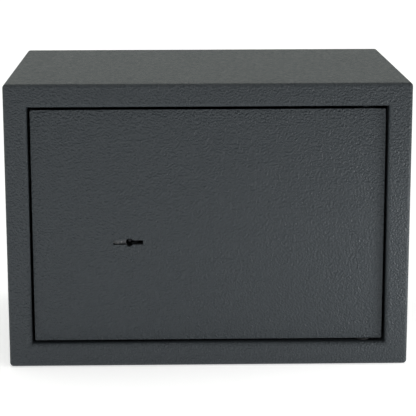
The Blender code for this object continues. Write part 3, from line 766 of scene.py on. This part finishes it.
def screw_mesh(name, head, shank, length, metal):
    """A pan-head screw along +Z from its seat at the origin, with a cross recess.

    The head and the shank are given as radii. The thread is a row of turned grooves.
    """
    rise = head * HEAD_RISE
    profile = [(head * across, -rise * up) for across, up in HEAD_DOME]
    profile += [(shank, 0.0)]
    for turn in range(int((length - 2 * SCREW_TIP) / THREAD_PITCH)):
        start = SCREW_TIP + turn * THREAD_PITCH
        profile += [(shank, start + THREAD_CREST), (shank - THREAD_DEPTH, start + THREAD_ROOT)]
    profile += [(shank, length - SCREW_TIP), (shank - SCREW_TIP, length)]
    screw = turned(name, (0, 0, 0), Z, profile, metal, sides=40)
    for along, across in ((X, Y), (Y, X)):
        cut(screw, recess_blade(along, across, head, rise))
    mesh = screw.data
    mesh.set_sharp_from_angle(angle=math.radians(SHARP))
    bpy.data.objects.remove(screw)
    return mesh


def recess_blade(along, across, head, rise):
    """The tool that cuts one bar of the cross recess: its ends slope in towards the bottom."""
    reach = along * (head * RECESS_REACH)
    side = across * (head * RECESS_SIDE)
    bottom = -rise + head * RECESS_DEPTH
    rings = []
    for z, share in ((-rise - CLEAR, 1.0), (-rise, 1.0), (bottom, RECESS_TAPER)):
        corners = ((-1, -1), (1, -1), (1, 1), (-1, 1))
        rings.append([reach * (a * share) + side * b + Z * z for a, b in corners])
    return object_of_rings("blade", rings, False)


def place_screw(node, mesh, axis, body, turn):
    """Stands a screw in for its node: axis points from its head along its shank."""
    low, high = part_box(node)
    extent = abs(axis.dot(high - low))
    head_top = min(vertex.co.z for vertex in mesh.vertices)
    seat = middle(node) - axis * (extent / 2 + head_top)
    made = bpy.data.objects.new(node + "_skin", mesh)
    bpy.context.scene.collection.objects.link(made)
    facing = axis.to_track_quat("Z", "Y").to_matrix().to_4x4()
    made.matrix_world = Matrix.Translation(seat) @ (facing @ Matrix.Rotation(turn, 4, "Z"))
    stand_for(made, body, node)


def make_screws(metal):
    """All twelve screws, each turned by its own angle in radians."""
    cover = screw_mesh("cover_screw", head=4.0 * MM, shank=2.0 * MM, length=11.0 * MM, metal=metal)
    lid = screw_mesh("lid_screw", head=3.0 * MM, shank=1.5 * MM, length=7.5 * MM, metal=metal)
    for i, turn in enumerate((0.3, 1.1, 0.7, 0.1), 1):
        place_screw("cover_screw_{}".format(i), cover, -Y, "door", turn)
        place_screw("lid_screw_{}".format(i), lid, -Y, "door", turn + 0.5)
    link = screw_mesh("link_screw", head=3.6 * MM, shank=2.0 * MM, length=10.0 * MM, metal=metal)
    bolt = screw_mesh("bolt_screw", head=5.0 * MM, shank=3.0 * MM, length=14.0 * MM, metal=metal)
    for side, turn in zip(SIDES, (0.2, 0.9)):
        place_screw("link_screw_" + side, link, X, "boltwork", turn)
        place_screw("bolt_screw_" + side, bolt, -X, "boltwork", turn)


# -------------------------------------------------------------------- boltwork


def make_live_bolt(node, bright):
    """A round bolt with a rounded nose, a bevelled tail and a bore for its screw.

    The nose and the tail are (inset, distance) points in millimetres from the side and the end.
    """
    low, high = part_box(node)
    radius = (high.z - low.z) / 2
    length = high.x - low.x
    place = middle(node)
    nose = ((1.6, 0.0), (0.9, 0.25), (0.35, 0.75), (0.0, 1.7))
    tail = ((0.0, 0.5), (0.4, 0.0))
    profile = [(radius - inset * MM, distance * MM) for inset, distance in nose]
    profile += [(radius - inset * MM, length - distance * MM) for inset, distance in tail]
    bolt = turned(node + "_skin", (low.x, place.y, place.z), X, profile, bright, sides=64)
    mouth = (high.x, place.y, place.z)
    drill(bolt, mouth, -X, BOLT_SCREW_HOLE, BOLT_SCREW_DEPTH, blind=True)
    bolt.data.set_sharp_from_angle(angle=math.radians(BOLT_SHARP))
    stand_for(bolt, "boltwork", node)


def make_bar(metal):
    """The bar that carries the bolts, with holes for their screws and the lock bolt's."""
    low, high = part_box("bolt_bar")
    thickness = high.x - low.x
    outline = rounded_rectangle(low.y, high.y, low.z, high.z, BAR_CORNER)
    bar = prism("bolt_bar_skin", outline, "X", low.x, high.x, metal)
    for bolt in BOLTS:
        drill(bar, (low.x, bolt.y, bolt.z), X, BOLT_SCREW_HOLE, thickness)
    for screw in LINK_SCREWS:
        drill(bar, (low.x, screw.y, screw.z), X, LINK_SCREW_HOLE, thickness)
    round_edges(bar, width=0.3 * MM)
    stand_for(bar, "boltwork", "bolt_bar")


# ---------------------------------------------------------------------- levers


def make_spring(index, wire):
    """A curved wire, its root at the lever and its tip on the lock case's roof."""
    node = "lever_spring_{}".format(index)
    low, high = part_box(node)
    y = (low.y + high.y) / 2
    radius = (high.y - low.y) / 2
    reach = high.x - low.x
    rise = high.z - low.z - 2 * radius
    curve = 1.7
    steps = 28
    sides = 12
    rings = []
    for i in range(steps + 1):
        share = i / steps
        spot = Vector((high.x - share * reach, y, low.z + radius + rise * share**curve))
        along = Vector((-reach, 0, curve * rise * share ** (curve - 1))).normalized()
        across = along.cross(Y)
        ring = []
        for j in range(sides):
            angle = 2 * math.pi * j / sides
            ring.append(spot + (Y * math.cos(angle) + across * math.sin(angle)) * radius)
        rings.append(ring)
    spring = object_of_rings(node + "_skin", rings, False, wire)
    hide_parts(node)
    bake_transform(spring)


# --------------------------------------------------- pieces kept from the CAD


def finish_kept(surfaces):
    """Gives every CAD node the finish of its material slot.

    The drill pin has a nearly black one of its own, painted shade on a pin that is bright steel.
    A bright pin shines white in the keyhole, and the photo shows only a dim spot there.
    """
    slots = {part["node"]: part["material_slot"] for part in frame["record"]["subparts"]}
    for name, node in frame["nodes"].items():
        # The drill pin gets nearly black steel: painted shade.
        finish = "painted_shade_pin_steel" if name == "drill_pin" else slots[name]
        node.data.materials.clear()
        node.data.materials.append(surfaces[finish])


# ---------------------------------------------------------------------- studio


def make_floor():
    shape = bmesh.new()
    bmesh.ops.create_grid(shape, x_segments=24, y_segments=24, size=FLOOR_HALF)
    floor = object_of("floor", shape, studio_floor())
    floor.location = (0, FLOOR_Y, cad_box[0].z - FLOOR_DROP)


def make_world():
    """A soft room: dim in front of the safe and overhead, bright behind it."""
    world = bpy.data.worlds.new("studio")
    bpy.context.scene.world = world
    world.use_nodes = True
    nodes = Nodes(world.node_tree)
    out = nodes.add("ShaderNodeOutputWorld")
    back = nodes.add("ShaderNodeBackground")
    split = nodes.add("ShaderNodeSeparateXYZ")
    nodes.join(nodes.add("ShaderNodeTexCoord").outputs["Generated"], split.inputs[0])
    depth = nodes.remap(split.outputs["Y"], REAR_TURN)
    height = nodes.remap(split.outputs["Z"], ABOVE_TURN)
    around = nodes.mix(depth, FRONT, REAR)
    nodes.put(back.inputs["Color"], nodes.mix(height, around, ABOVE))
    nodes.join(back.outputs[0], out.inputs["Surface"])


def add_lamp(name, kind, at, aim, power):
    lamp = bpy.data.lights.new(name, kind)
    lamp.energy = power
    made = bpy.data.objects.new(name, lamp)
    bpy.context.scene.collection.objects.link(made)
    made.location = at
    made.rotation_euler = (Vector(aim) - Vector(at)).to_track_quat("-Z", "Y").to_euler()
    return lamp


def add_softbox(name, at, aim, size, power, spread=180.0):
    """A lit rectangle of a given (width, height). A small spread in degrees narrows its beam."""
    lamp = add_lamp(name, "AREA", at, aim, power)
    lamp.shape = "RECTANGLE"
    lamp.size = size[0]
    lamp.size_y = size[1]
    lamp.spread = math.radians(spread)


def make_lights():
    """A broad sun overhead, a low rake from the right that shows the grain, and two weak fills."""
    sun = add_lamp("overhead", "SUN", at=(0.1, -0.08, 1.0), aim=(0.0, 0.0, 0.0), power=1.4)
    sun.angle = math.radians(60.0)
    sun.color = (1.0, 0.995, 0.975)
    add_softbox(
        "rake",
        at=(0.43, -0.25, 0.1),
        aim=(0.12, -0.125, 0.095),
        size=(0.1, 0.05),
        power=0.22,
        spread=88.0,
    )
    add_softbox("low", at=(0.1, -0.62, 0.03), aim=(0.03, -0.12, 0.13), size=(0.5, 0.06), power=0.38)
    add_softbox("fill", at=(-0.55, -0.5, 0.12), aim=(-0.1, -0.12, 0.12), size=(0.15, 0.2), power=0.54)


def make_camera():
    data = bpy.data.cameras.new("camera")
    data.sensor_width = 36.0
    data.lens = CAMERA_LENS
    camera = bpy.data.objects.new("camera", data)
    bpy.context.scene.collection.objects.link(camera)
    turn = Matrix.Rotation(math.radians(-CAMERA_YAW), 4, "Z")
    tilt = Matrix.Rotation(math.radians(90 - CAMERA_PITCH), 4, "X")
    roll = Matrix.Rotation(math.radians(-CAMERA_ROLL), 4, "Z")
    camera.matrix_world = Matrix.Translation(CAMERA_AT) @ turn @ tilt @ roll
    bpy.context.scene.camera = camera


# ----------------------------------------------------------------------- build


def build():
    coat = powder_coat()
    metal = zinc()
    bright = turned_steel()
    plastic = nylon()
    wire = wire_steel()
    surfaces = {
        "powder_coat": coat,
        "zinc_plated_steel": metal,
        "phosphated_steel": phosphate(),
        "bright_steel": bright,
        "painted_shade_pin_steel": painted_shade_pin_steel(),
        "lever_steel": stamped_steel(),
        "die_cast_zinc": cast_zinc(),
        "spring_wire": wire,
        "black_nylon": plastic,
    }
    finish_kept(surfaces)
    make_shell(coat)
    make_back(coat)
    for side in SIDES:
        make_hinge_plate("hinge_plate_" + side, coat)
    make_washer(plastic)
    make_door(coat)
    for side in SIDES:
        make_lug("hinge_lug_" + side, coat)
    for side in SIDES:
        make_pin("hinge_pin_" + side, coat)
    make_dead_bar(coat)
    make_guide(metal)
    make_cover(coat)
    make_screws(metal)
    for side in SIDES:
        make_live_bolt("live_bolt_" + side, bright)
    make_bar(metal)
    for index in range(1, 6):
        make_spring(index, wire)
    make_floor()
    make_world()
    make_lights()
    make_camera()
    bpy.context.scene.view_settings.view_transform = "Standard"


build()
bpy.context.view_layer.update()
